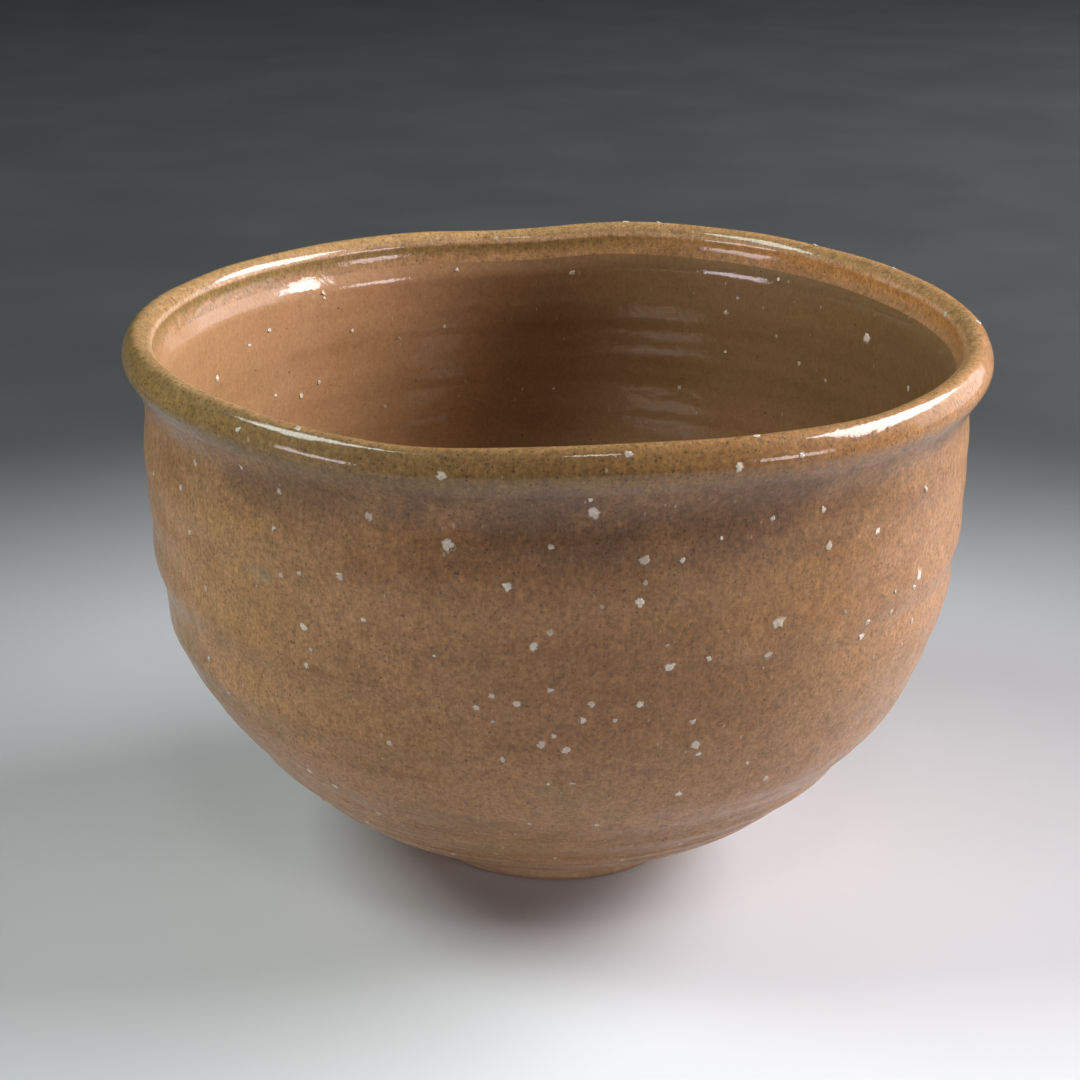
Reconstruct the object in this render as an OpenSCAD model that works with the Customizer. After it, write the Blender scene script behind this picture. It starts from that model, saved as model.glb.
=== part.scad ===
// Matcha bowl: a wheel-thrown stoneware tea bowl with a luted foot ring, a glossy glaze
// inside and out, a second coat over the lip, and feldspar chips and iron spots in the glaze.
// Millimetres, +Z up, origin at the centre of the ring that the bowl stands on.
// Angles go round the bowl in degrees from its front (-Y), counter-clockwise seen from above.

/* [Bowl] */
// Widest diameter of the mouth, over the rolled lip
mouth_d = 123; // [120.5:0.5:128]
// Height from the table to the crest of the lip
bowl_h = 80; // [78:0.5:86]
// Outside diameter of the upright wall below the lip
waist_d = 117.5; // [116:0.5:120]
// Height at which the belly's curve has become upright
waist_h = 55; // [52:0.5:57]
// Squareness of the belly's curve, where 2 is an ellipse
belly_power = 2.06; // [2.04:0.02:2.3]

/* [Wall] */
// Thickness of the upright wall, with both glazes
wall_t = 3.2; // [2.8:0.1:4]
// Height of the middle of the inside floor
floor_h = 9.6; // [8.6:0.1:12]
// Squareness of the inside curve, where 2 is an ellipse
inside_power = 2.25; // [2:0.05:2.5]
// Thickness of the glaze
glaze_t = 0.35; // [0.2:0.05:0.5]

/* [Lip] */
// Drop from the crest to where the outside of the wall begins to flare
outer_flare_drop = 10; // [9:0.5:16]
// Drop from the crest to the outermost point of the lip
lip_outer_drop = 3; // [2:0.1:4]
// Width of the rounded lip outside its crest
lip_outer_w = 2.2; // [1.8:0.1:2.6]
// Width of the rounded lip inside its crest
lip_inner_w = 2.2; // [1.8:0.1:2.6]
// Drop from the crest to the foot of the lip's inner rounding
lip_inner_drop = 2.2; // [1.6:0.1:3]
// Drop from the crest to where the inside of the wall begins to flare
inner_flare_drop = 8; // [7:0.5:12]
// Drop from the crest to the second coat's lower edge on the outside
coat_outer_drop = 6.5; // [4.5:0.1:10]
// Drop from the crest to the second coat's lower edge on the inside
coat_inner_drop = 4.8; // [3.5:0.1:10]

/* [Foot] */
// Outside diameter of the foot ring where it stands
foot_d = 42.6; // [38:0.2:43]
// Height of the belly's flat underside above the table
foot_h = 4.4; // [4.2:0.1:5]
// Radial width of the foot ring
foot_w = 4.8; // [4:0.1:6]
// Spread of the foot ring's outside, from table to belly
foot_flare = 0.4; // [0:0.1:0.5]
// Depth of the recess inside the foot ring
recess_h = 5.4; // [5.2:0.1:5.8]
// Bevel worn on the foot ring's two lower edges
foot_bevel = 0.6; // [0.3:0.1:1]

/* [Inclusions] */
// Height that a feldspar chip stands out of the glaze
chip_proud = 0.22; // [0.1:0.02:0.4]
// Height that an iron spot stands out of the glaze
spot_proud = 0.1; // [0.06:0.02:0.2]
// Number of small scattered chips on the outside
outside_chips = 64; // [1:1:120]
// Number of small scattered chips on the inside
inside_chips = 30; // [1:1:80]
// Number of small scattered iron spots
iron_spot_count = 24; // [1:1:60]
// Seed of the scatter
scatter_seed = 7; // [1:1:99]

/* [Hidden] */

$fn = 180;

// Radii of the outside: the mouth, the upright wall, the lip's crest and the foot ring
mouth_r = mouth_d / 2;
waist_r = waist_d / 2;
crest_r = mouth_r - lip_outer_w;
foot_r = foot_d / 2;
foot_top_r = foot_r + foot_flare;
recess_r = foot_r - foot_w;

// Radii of the inside: the upright wall and the lower edge of the lip's rounding
inside_r = waist_r - wall_t;
lip_inside_r = crest_r - lip_inner_w;

// Heights of the lip's outermost point, of the lower edge of its inner rounding, and of
// the places where the wall begins to flare
lip_h = bowl_h - lip_outer_drop;
lip_inside_h = bowl_h - lip_inner_drop;
flare_h = bowl_h - outer_flare_drop;
inner_flare_h = bowl_h - inner_flare_drop;

// Steps along each stretch of the outline
belly_steps = 32;
upright_steps = 3;
flare_steps = 9;
lip_steps = 8;

// Feldspar chips that stand out from the rest on the outside, as [angle, height, width]
OUTER_CHIPS = [
    [-57, 65, 0.9], [-55, 59.5, 0.8], [-55, 41, 0.8], [-53, 69.5, 0.9], [-52, 52.5, 0.9],
    [-51, 37.5, 0.9], [-42, 72, 0.8], [-40, 27.5, 1.1], [-36, 70.5, 1.0], [-37, 65.5, 0.9],
    [-36, 26, 1.2], [-36, 59.5, 0.8], [-33, 60.5, 0.8], [-33, 53, 1.1], [-33, 47.5, 1.0],
    [-32, 50, 0.7], [-27, 61.5, 1.3], [-23, 70, 1.2], [-24, 56, 0.8], [-22, 38.5, 0.9],
    [-13, 67.5, 1.6], [-10, 45.5, 0.9], [-11, 16, 0.8], [-8, 47.5, 0.8], [-8, 43.5, 0.7],
    [-7, 38, 1.1], [-6, 62.5, 1.4], [-5, 46.5, 1.1], [-4, 25.5, 0.8], [-3, 54.5, 1.2],
    [-1, 67.5, 0.8], [-1, 56.5, 1.0], [-1, 48.5, 1.0], [-2, 40.5, 1.2], [-0.5, 41.8, 0.9],
    [1, 39.8, 1.3], [2, 34, 0.8], [0, 15.2, 0.7], [4, 71.5, 1.5], [4, 46.5, 1.0],
    [3, 44, 1.1], [5, 59.5, 0.6], [6, 25, 0.8], [10, 65.5, 1.4], [10, 62.5, 0.8],
    [9.5, 60, 1.3], [10, 46, 1.0], [13.5, 51, 1.2], [13, 54, 0.7], [14.5, 65, 0.8],
    [17, 42.5, 1.1], [18, 39, 1.6], [18.5, 37.4, 0.8], [17, 30.5, 1.1], [18.5, 51.7, 1.1],
    [24, 16, 0.8], [26, 69, 0.8], [27.5, 55, 1.5], [26.5, 50.5, 1.2], [31, 30, 1.0],
    [33.5, 69, 0.9], [34.5, 64, 1.3], [43, 64, 0.9], [43, 51, 0.9], [42.5, 49, 1.2],
    [48, 51, 0.9], [54, 67, 1.4], [54, 54.5, 1.5], [53, 53, 0.8], [55, 47, 1.0],
];

// The same on the inside
INNER_CHIPS = [
    [250, 65, 0.9], [240, 68, 0.7], [235, 69.5, 0.8], [234, 57.5, 0.7], [228, 56.5, 0.9],
    [224, 58, 0.9], [222.5, 73, 1.0], [217, 66, 0.8], [208, 62.5, 1.1], [199.5, 64.5, 0.9],
    [197, 74, 0.8], [180, 52, 0.7], [177, 72.5, 1.0], [149, 67, 0.8], [147, 70, 0.7],
    [149, 60.5, 0.6], [139.5, 74, 0.8], [139, 65, 0.6], [134, 61, 0.8], [128, 60, 0.7],
    [118.5, 69, 1.5], [105, 65, 0.9],
];

// The same on the rounded lip, as [angle, degrees round the lip from its outermost point, width]
LIP_CHIPS = [
    [-13, 4, 1.2], [-32, 80, 1.0], [-40, 25, 1.0], [7.5, 50, 1.1], [20, 2, 1.1], [23, 92, 1.0],
    [28, 12, 0.9], [88, 75, 1.1], [97, 160, 1.2], [118, 88, 0.9], [135, 84, 1.1],
    [163, 92, 0.8], [168.5, 86, 1.2], [190, 150, 0.8],
];

// Iron spots that stand out from the rest on the outside, as [angle, height, width]
OUTER_SPOTS = [[17, 22.8, 1.3], [-35, 50.3, 0.8], [-8, 79, 0.7], [14, 70.8, 0.7]];

// The bands of height that the small scattered chips and spots keep to, and their widths
outside_band = [9, bowl_h - 6];
inside_band = [floor_h + 4, bowl_h - 8];
small_chip_w = [0.35, 0.75];
small_spot_w = [0.3, 0.7];

// Radius of a curve that leaves the axis at height low and stands upright at height high
function swell(z, low, high, r, power) =
    let (t = min(1, max(0, (high - z) / (high - low))))
    r * pow(max(0, 1 - pow(t, power)), 1 / power);

// Height of that curve where its radius is s times r
function swell_height(s, low, high, power) =
    high - (high - low) * pow(max(0, 1 - pow(s, power)), 1 / power);

// 0 below low, 1 above high, with a smooth rise between them
function rise(z, low, high) =
    let (t = min(1, max(0, (z - low) / (high - low))))
    t * t * (3 - 2 * t);

function outside_radius(z) =
    swell(z, 0, waist_h, waist_r, belly_power)
    + (mouth_r - waist_r) * rise(z, flare_h, lip_h);

function inside_radius(z) =
    swell(z, floor_h, waist_h, inside_r, inside_power)
    + (lip_inside_r - inside_r) * rise(z, inner_flare_h, lip_inside_h);

// Point of the rounded lip, a degrees from its outermost point: 90 is the crest
function lip_point(a) =
    a < 90
    ? [crest_r + lip_outer_w * cos(a), lip_h + (bowl_h - lip_h) * sin(a)]
    : [crest_r + lip_inner_w * cos(a), bowl_h - lip_inner_drop * (1 - sin(a))];

// The glazed outline as [radius, height], in stretches from the foot to the inside floor
belly_edge = swell(foot_h, 0, waist_h, 1, belly_power);
belly_line = [
    for (i = [0 : belly_steps])
        let (s = belly_edge + (1 - belly_edge) * sin(90 * i / belly_steps))
        [waist_r * s, swell_height(s, 0, waist_h, belly_power)],
];
upright_line = [
    for (i = [1 : upright_steps])
        [waist_r, waist_h + (flare_h - waist_h) * i / upright_steps],
];
flare_line = [
    for (i = [1 : flare_steps])
        let (z = flare_h + (lip_h - flare_h) * i / flare_steps)
        [outside_radius(z), z],
];
lip_line = [for (i = [1 : 2 * lip_steps]) lip_point(90 * i / lip_steps)];
inner_flare_line = [
    for (i = [1 : flare_steps])
        let (z = lip_inside_h - (lip_inside_h - inner_flare_h) * i / flare_steps)
        [inside_radius(z), z],
];
inside_line = [
    for (i = [0 : belly_steps])
        let (s = cos(90 * i / belly_steps))
        [inside_r * s, swell_height(s, floor_h, waist_h, inside_power)],
];
GLAZED = concat([[foot_top_r, foot_h]], belly_line, upright_line, flare_line, lip_line,
                inner_flare_line, inside_line);
last = len(GLAZED) - 1;

// Unit vector from point i of the outline into the clay
function into_clay(i) =
    i == 0 ? [0, 1]
    : i == last ? [0, -1]
    : let (along = GLAZED[i + 1] - GLAZED[i - 1])
      [-along[1], along[0]] / norm(along);

// The clay's own outline lies under the glaze, with one point to each point of the outline
CLAY = [for (i = [0 : last]) GLAZED[i] + glaze_t * into_clay(i)];

// The second coat runs along the outline between its outer and its inner lower edge
crest = len(belly_line) + upright_steps + flare_steps + lip_steps;
coat_from = min([for (i = [0 : crest]) if (GLAZED[i][1] > bowl_h - coat_outer_drop) i]);
coat_to = max([for (i = [crest : last]) if (GLAZED[i][1] > bowl_h - coat_inner_drop) i]);

// Skin of glaze along the outline from point a to point b, as a closed section
function skin(a, b) = concat(
    [for (i = [a : b]) GLAZED[i]],
    [for (i = [b : -1 : a]) CLAY[i]]
);

// Clearance that keeps a flat chip off the curved glaze, and the step that measures a slope
chip_gap = 0.06;
slope_step = 0.5;

// Lean of the wall from upright in degrees, where a and b are points of it, b the higher one
function lean(a, b) = atan2(b[0] - a[0], b[1] - a[1]);

function outside_lean(z) =
    lean([outside_radius(z - slope_step), -slope_step], [outside_radius(z + slope_step), slope_step]);

function inside_lean(z) =
    lean([inside_radius(z - slope_step), -slope_step], [inside_radius(z + slope_step), slope_step]);

// Small broken chip with five sides, lying on the XY plane, w wide and t thick
module chip(w, t, seed) {
    corner_angle = 72;
    reach = rands(0.36, 0.58, 5, seed);
    linear_extrude(height = t)
        polygon([for (i = [0 : 4]) w * reach[i] * [cos(corner_angle * i), sin(corner_angle * i)]]);
}

// Lays a chip on the glaze at an angle round the bowl and a point [radius, height] of the
// outline, where tilt turns the chip's face from straight up to straight out of the glaze
module on_glaze(angle, point, tilt, w, t, seed) {
    spin = 50 * seed;
    rotate([0, 0, angle - 90])
        translate([point[0], 0, point[1]])
            rotate([0, tilt, 0])
                translate([0, 0, chip_gap])
                    rotate([0, 0, spin])
                        chip(w, t, seed);
}

module outside_chip(angle, z, w, t, seed) {
    on_glaze(angle, [outside_radius(z), z], 90 + outside_lean(z), w, t, seed);
}

module inside_chip(angle, z, w, t, seed) {
    on_glaze(angle, [inside_radius(z), z], inside_lean(z) - 90, w, t, seed);
}

module lip_chip(angle, a, w, t, seed) {
    step = 2;
    along = lip_point(a + step) - lip_point(a - step);
    on_glaze(angle, lip_point(a), atan2(along[1], -along[0]), w, t, seed);
}

module scatter(count, band, widths, seed, inside = false, t = chip_proud) {
    z = rands(band[0], band[1], count, seed + 100);
    w = rands(widths[0], widths[1], count, seed + 200);
    shift = rands(0.1, 0.9, count, seed + 300);
    for (i = [0 : count - 1]) {
        angle = 360 * (i + shift[i]) / count;
        if (inside)
            inside_chip(angle, z[i], w[i], t, seed + i);
        else
            outside_chip(angle, z[i], w[i], t, seed + i);
    }
}

// Thrown wall and floor
module clay_body() {
    color("tan")
        rotate_extrude()
            polygon(concat(
                [
                    [0, recess_h],
                    [recess_r, recess_h],
                    [recess_r, foot_h + glaze_t],
                ],
                CLAY
            ));
}

// Ring luted under the belly, on which the bowl stands
module foot_ring() {
    color("darkkhaki")
        rotate_extrude()
            polygon([
                [recess_r, foot_bevel],
                [recess_r + foot_bevel, 0],
                [foot_r - foot_bevel, 0],
                [foot_r, foot_bevel],
                [foot_top_r, foot_h],
                [foot_top_r, foot_h + glaze_t],
                [recess_r, foot_h + glaze_t],
            ]);
}

// Coat on the outside, from the foot ring up to the lip's second coat
module glaze_outside() {
    color("peru")
        rotate_extrude()
            polygon(skin(0, coat_from));
}

// Coat on the inside, from the lip's second coat down over the floor
module glaze_inside() {
    color("sandybrown")
        rotate_extrude()
            polygon(skin(coat_to, last));
}

// Second coat, over both sides of the lip
module lip_glaze() {
    color("olive")
        rotate_extrude()
            polygon(skin(coat_from, coat_to));
}

// Chips of feldspar that stand out of the glaze
module feldspar_grains() {
    color("ivory") {
        for (i = [0 : len(OUTER_CHIPS) - 1])
            outside_chip(OUTER_CHIPS[i][0], OUTER_CHIPS[i][1], OUTER_CHIPS[i][2], chip_proud, i);
        for (i = [0 : len(INNER_CHIPS) - 1])
            inside_chip(INNER_CHIPS[i][0], INNER_CHIPS[i][1], INNER_CHIPS[i][2], chip_proud, i);
        for (i = [0 : len(LIP_CHIPS) - 1])
            lip_chip(LIP_CHIPS[i][0], LIP_CHIPS[i][1], LIP_CHIPS[i][2], chip_proud, i);
        scatter(outside_chips, outside_band, small_chip_w, scatter_seed);
        scatter(inside_chips, inside_band, small_chip_w, scatter_seed + 1, inside = true);
    }
}

// Dark spots where grains of iron have melted through the glaze
module iron_spots() {
    color("black") {
        for (i = [0 : len(OUTER_SPOTS) - 1])
            outside_chip(OUTER_SPOTS[i][0], OUTER_SPOTS[i][1], OUTER_SPOTS[i][2], spot_proud, i);
        scatter(iron_spot_count, outside_band, small_spot_w, scatter_seed + 2, t = spot_proud);
    }
}

clay_body();
foot_ring();
glaze_outside();
glaze_inside();
lip_glaze();
feldspar_grains();
iron_spots();
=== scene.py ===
"""Looks of the matcha bowl: thrown stoneware in a glossy tan glaze, with feldspar chips and iron specks.

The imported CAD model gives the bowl's outline and the places of its chips and spots. Each piece made
here replaces one CAD node with a finer one that carries the marks of throwing, turning and firing.
Shapes are worked out in millimetres and become metres when a mesh is made. Angles go round the bowl
in degrees from its front (-Y), counter-clockwise seen from above.
"""

import math

import bmesh
import bpy
import numpy as np
from mathutils import Matrix


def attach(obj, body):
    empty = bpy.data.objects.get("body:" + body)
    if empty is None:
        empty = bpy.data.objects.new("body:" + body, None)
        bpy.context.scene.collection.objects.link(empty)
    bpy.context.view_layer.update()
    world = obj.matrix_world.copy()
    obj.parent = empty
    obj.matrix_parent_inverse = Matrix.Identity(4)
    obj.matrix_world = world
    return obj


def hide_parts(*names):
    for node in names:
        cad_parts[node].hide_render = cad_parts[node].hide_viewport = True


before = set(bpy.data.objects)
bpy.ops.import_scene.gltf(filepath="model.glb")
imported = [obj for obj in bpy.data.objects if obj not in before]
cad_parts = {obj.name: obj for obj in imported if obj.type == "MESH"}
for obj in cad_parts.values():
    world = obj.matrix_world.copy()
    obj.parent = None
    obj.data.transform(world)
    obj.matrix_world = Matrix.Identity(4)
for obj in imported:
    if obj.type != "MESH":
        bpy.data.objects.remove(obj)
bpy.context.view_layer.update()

MM = 0.001
# Points round the bowl in each ring of a mesh, and their angles
ROUND = 400
ANGLES = np.linspace(-180, 180, ROUND, endpoint=False)

# ---------------------------------------------------------------- outline, from the CAD model

# Rings of the CAD model this close together, in mm, count as one
SAME_RING = 0.05


def rings(name):
    """Every (radius, height) at which a CAD node that revolves round Z has points."""
    found = set()
    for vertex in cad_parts[name].data.vertices:
        x, y, z = vertex.co
        found.add((round(math.hypot(x, y) / MM, 2), round(z / MM, 2)))
    return found


CLAY_RINGS = rings("clay_body")
FOOT_RINGS = rings("foot_ring")


def glazed_rings(name, start=None):
    """The rings on a coat's glossy side, in order along the outline from start, or from the lowest."""
    left = [p for p in rings(name) if min(math.dist(p, q) for q in CLAY_RINGS) > SAME_RING]
    ordered = [start or min(left, key=lambda p: p[1])]
    left = [p for p in left if math.dist(p, ordered[0]) > SAME_RING]
    while left:
        nearest = min(left, key=lambda p: math.dist(p, ordered[-1]))
        left.remove(nearest)
        if math.dist(nearest, ordered[-1]) > SAME_RING:
            ordered.append(nearest)
    return ordered


outside_rings = glazed_rings("glaze_outside")
lip_rings = glazed_rings("lip_glaze", outside_rings[-1])
inside_rings = glazed_rings("glaze_inside", lip_rings[-1])
OUTLINE = np.array(outside_rings + lip_rings[1:] + inside_rings[1:])

BOWL_H = OUTLINE[:, 1].max()
FOOT_H = OUTLINE[0, 1]
FOOT_TOP_R = OUTLINE[0, 0]
FLOOR_H = OUTLINE[-1, 1]
GLAZE_T = FLOOR_H - max(z for r, z in CLAY_RINGS if r == 0 and z < FLOOR_H)
RECESS_H = min(z for r, z in CLAY_RINGS if r == 0)
RECESS_R = min(r for r, z in FOOT_RINGS)
STANDING_RADII = [r for r, z in FOOT_RINGS if z == 0]
FOOT_BEVEL = min(STANDING_RADII) - RECESS_R


def along(points):
    """Distance along a line of points to each of them."""
    steps = np.linalg.norm(np.diff(points, axis=0), axis=1)
    return np.concatenate([[0], np.cumsum(steps)])


def wave_through(knots, value, period=None):
    """A smooth wave through (place, offset) knots. With a period, it closes on itself."""
    at, offsets = np.array(knots, float).T
    if period:
        at = np.concatenate([at - period, at, at + period])
        offsets = np.tile(offsets, 3)
    slopes = np.gradient(offsets, at)
    i = np.clip(np.searchsorted(at, value) - 1, 0, len(at) - 2)
    gap = at[i + 1] - at[i]
    t = np.clip((value - at[i]) / gap, 0, 1)
    return (
        offsets[i] * (1 + 2 * t) * (1 - t) ** 2
        + offsets[i + 1] * (3 - 2 * t) * t * t
        + gap * t * (1 - t) * (slopes[i] * (1 - t) - slopes[i + 1] * t)
    )


def smooth_curve(points, steps=24):
    """A smooth curve through the points, with that many steps between each two."""
    s = along(points)
    finer = [np.linspace(a, b, steps, endpoint=False) for a, b in zip(s, s[1:])]
    at = np.concatenate(finer + [s[-1:]])
    return np.stack([wave_through(list(zip(s, column)), at) for column in points.T], -1)


CURVE = smooth_curve(OUTLINE)
CURVE_S = along(CURVE)
TANGENT = np.gradient(CURVE, CURVE_S, axis=0)
TANGENT /= np.linalg.norm(TANGENT, axis=1)[:, None]
CREST_S = CURVE_S[CURVE[:, 1].argmax()]
END_S = CURVE_S[-1]
COAT_FROM_S = CURVE_S[np.linalg.norm(CURVE - lip_rings[0], axis=1).argmin()]
COAT_TO_S = CURVE_S[np.linalg.norm(CURVE - lip_rings[-1], axis=1).argmin()]


def outline_at(s):
    """Radius and height of the outline at distance s, and the direction out of the glaze there."""
    r, z, tr, tz = (np.interp(s, CURVE_S, column) for column in (*CURVE.T, *TANGENT.T))
    return r, z, tz, -tr


# ---------------------------------------------------------------- marks of the potter's hands


def rise(value, low, high):
    """0 below low, 1 above high, with a smooth rise between them."""
    t = np.clip((value - low) / (high - low), 0, 1)
    return t * t * (3 - 2 * t)


# Height of the lip's crest above its mean, round the bowl, as (angle, mm)
RIM_LIFT = [
    (-135, -0.5), (-95, -0.2), (-70, 0.3), (-45, 0), (-22, -0.7), (7, 0.4), (49, -0.5),
    (80, -0.1), (110, 0.1), (150, 0.8), (170, 0.5), (184, -0.8), (205, -0.6),
]

# Ridges and hollows in the outside of the wall, as (height, mm out), on its left and its right
LEFT_RIDGES = [
    (8, 0), (14, 0.1), (17.6, -0.4), (19, -0.15), (21.5, -0.5), (26, -0.3), (31, 0.2), (36, 0.7),
    (38.3, 1.0), (40.5, 0.2), (43, -0.25), (48, 0.25), (53, 0), (61.5, 0.55), (67, 0.2),
    (72, -0.3), (75, -0.4), (77.5, -0.1), (80, 0),
]
RIGHT_RIDGES = [
    (8, 0), (13.8, 0), (15.4, -0.6), (17, 0), (18.4, 0), (20.6, -0.7), (23, -0.25), (28, 0.45),
    (32, 0.1), (36, -0.1), (38.2, -0.4), (41, -0.05), (45, -0.3), (48, -0.8), (51.5, -0.25),
    (60, 0.05), (67, 0.15), (72, -0.35), (75, -0.3), (77.5, 0), (80, 0),
]

# Grooves turned round the low wall, as (height, width, depth)
TURNED_GROOVES = [
    (8.1, 0.5, 0.08), (9.6, 0.7, 0.12), (11.2, 0.5, 0.1), (12.9, 0.8, 0.16), (14.9, 0.6, 0.12),
    (16.7, 0.9, 0.16), (19.3, 0.7, 0.1), (22.4, 1.1, 0.1), (25.2, 0.9, 0.06),
]
GROOVE_STRENGTH = 1.4
# How far a groove climbs in one turn, and how far the spiral of throwing does, in mm
GROOVE_SPIRAL = 0.5
SPIRAL_PITCH = 7.5
SPIRAL_DEPTH = 0.07
RIDGE_STRENGTH = 0.75
# The lip was wiped flat this deep and this wide, this far outside its crest, in mm
WIPE_DEPTH = 0.24
WIPE_WIDTH = 1.5
WIPE_FROM_CREST = 2.4


def wobble(angle, z):
    """Slow unevenness of the wall, about -1 to 1."""
    a = np.radians(angle)
    return (
        0.42 * np.sin(2 * a + z / 17 + 1.0)
        + 0.28 * np.sin(3 * a - z / 9 + 2.1)
        + 0.18 * np.sin(5 * a + z / 6 + 0.4)
        + 0.12 * np.sin(8 * a - z / 4.3 + 3.3)
    )


def outside_relief(angle, z):
    """How far the outside stands out of the CAD outline, in mm."""
    a = np.radians(angle)
    right = 0.5 + 0.5 * np.sin(a)
    ridges = right * wave_through(RIGHT_RIDGES, z) + (1 - right) * wave_through(LEFT_RIDGES, z)
    turn = angle / 360
    spiral = SPIRAL_DEPTH * np.sin(2 * math.pi * (z / SPIRAL_PITCH + turn))
    spiral = spiral * rise(z, 26, 34) * rise(-z, -70, -62)
    grooves = 0
    for height, width, depth in TURNED_GROOVES:
        away = z - height - GROOVE_SPIRAL * turn - 0.25 * wobble(angle + 9 * height, height)
        strength = 0.65 + 0.35 * np.sin(2 * a + height)
        grooves = grooves - GROOVE_STRENGTH * depth * strength * np.exp(-2 * (away / width) ** 2)
    below_lip = 1 - rise(z, 74, 78)
    thrown_marks = RIDGE_STRENGTH * ridges + spiral + 0.14 * wobble(angle, z)
    return thrown_marks * below_lip * rise(z, FOOT_H, 8) + grooves


def inside_relief(angle, r, z):
    """How far the inside stands into the hollow from the CAD outline, in mm."""
    turn = angle / 360
    finger = 0.05 * np.sin(2 * math.pi * (z / 8.5 + turn)) + 0.02 * np.sin(2 * math.pi * (z / 3.1 + turn))
    below_lip = 1 - rise(z, 72, 77)
    return (finger + 0.16 * wobble(angle + 140, 1.3 * z)) * below_lip * rise(r, 3, 16)


def lip_relief(angle, s):
    """Unevenness of the rounded lip, wiped a little flat outside its crest, in mm."""
    near = np.exp(-(((s - CREST_S) / 5) ** 2))
    wiped = WIPE_DEPTH * np.exp(-(((s - CREST_S + WIPE_FROM_CREST) / WIPE_WIDTH) ** 2))
    a = np.radians(angle)
    waves = 0.06 * np.sin(7 * a + 0.6) + 0.04 * np.sin(12 * a + 2) + 0.03 * np.sin(19 * a + 4)
    return near * waves - wiped


def thrown(s, angle, depth=0):
    """Point of the real bowl in mm: s along the outline, angle round the bowl, depth under the glaze."""
    r, z, out_r, out_z = outline_at(s)
    relief = np.where(s < CREST_S, outside_relief(angle, z), inside_relief(angle, r, z))
    out = relief + lip_relief(angle, s) - depth
    r = np.maximum(r + out * out_r, 0)
    z = z + out * out_z
    z = z + wave_through(RIM_LIFT, angle, 360) * rise(z, 42, BOWL_H)
    a = np.radians(angle)
    r = r * (1 + 0.0025 * np.cos(2 * a - 0.9) * rise(z, 10, 60))
    return np.stack([r * np.sin(a), -r * np.cos(a), z * np.ones_like(a)], -1)


# ---------------------------------------------------------------- meshes


def new_object(name, vertices, faces):
    """An object with a closed smooth mesh, from vertices in mm."""
    mesh = bpy.data.meshes.new(name)
    mesh.from_pydata((np.array(vertices) * MM).tolist(), [], faces)
    solid = bmesh.new()
    solid.from_mesh(mesh)
    bmesh.ops.recalc_face_normals(solid, faces=solid.faces)
    solid.to_mesh(mesh)
    solid.free()
    mesh.shade_smooth()
    obj = bpy.data.objects.new(name, mesh)
    bpy.context.scene.collection.objects.link(obj)
    return obj


def mark(obj, label, values):
    """Stores one number per vertex, for the object's material to read."""
    attribute = obj.data.attributes.new(label, "FLOAT", "POINT")
    attribute.data.foreach_set("value", np.array(values, np.float32))


def lathe(name, rows, sharp=50, from_crest=None):
    """A closed mesh through rows of points that go round the bowl and back to the first row.
    A row on the axis becomes one point, and the rows on either side of it aren't joined.
    from_crest is each row's distance along the outline from the lip's crest, for the glaze."""
    vertices = []
    numbers = []
    marks = []
    for place, row in enumerate(rows):
        on_axis = np.hypot(row[:, 0], row[:, 1]).max() < 1e-6
        first = len(vertices)
        vertices.extend(row[:1] if on_axis else row)
        numbers.append([first] * ROUND if on_axis else list(range(first, first + ROUND)))
        if from_crest is not None:
            marks.extend([from_crest[place]] * (len(vertices) - first))
    faces = []
    for low, high in zip(numbers, numbers[1:] + numbers[:1]):
        for i in range(ROUND):
            j = (i + 1) % ROUND
            face = list(dict.fromkeys([low[i], low[j], high[j], high[i]]))
            if len(face) > 2:
                faces.append(face)
    obj = new_object(name, vertices, faces)
    if from_crest is not None:
        mark(obj, "from_crest", marks)
    obj.data.set_sharp_from_angle(angle=math.radians(sharp))
    return obj


def places(start, end, spacing):
    """Distances along the outline from start to end, where spacing(radius, height) sets the step."""
    s = np.linspace(start, end, 4000)
    r, z, _, _ = outline_at(s)
    steps = np.concatenate([[0], np.cumsum(abs(np.diff(s)) / spacing(r, z)[1:])])
    return np.interp(np.linspace(0, steps[-1], int(steps[-1]) + 2), steps, s)


def fine(r, z):
    """Spacing of the rows on a glossy side: closer on the lip and where the wall was turned."""
    return 0.75 - 0.47 * rise(z, 72, 77) - 0.42 * rise(-z, -26, -22)


def fine_inside(r, z):
    """Spacing of the rows inside: closer towards the lip."""
    return 0.75 - 0.45 * rise(z, 70, 77)


def hidden(r, z):
    """Spacing of the rows that no one sees, between the coats and the clay."""
    return 2.5 - 1.5 * rise(z, 70, 77)


def coat(name, start, end, spacing):
    """A skin of glaze over the clay, from start to end along the outline."""
    glossy = places(start, end, spacing)
    under = places(end, start, hidden)
    rows = [thrown(s, ANGLES) for s in glossy] + [thrown(s, ANGLES, GLAZE_T) for s in under]
    return lathe(name, rows, from_crest=np.concatenate([glossy, under]) - CREST_S)


def ring_row(r, z):
    """A row of points round the axis, in mm. The radius and height may vary round it."""
    a = np.radians(ANGLES)
    return np.stack([r * np.sin(a), -r * np.cos(a), z * np.ones(ROUND)], -1)


def turned_clay(r, z):
    """Small scrapes and grains of bare turned clay at a ring of radius r and height z, in mm."""
    a = np.radians(ANGLES)
    scrape = 0.07 * np.sin(2 * math.pi * (r / 1.7 + ANGLES / 360)) + 0.03 * np.sin(11 * a + 3 * r)
    grain = 0.025 * np.sin(37 * a + 9 * r + 5 * z) * np.sin(61 * a - 7 * r)
    return scrape + grain


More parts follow.
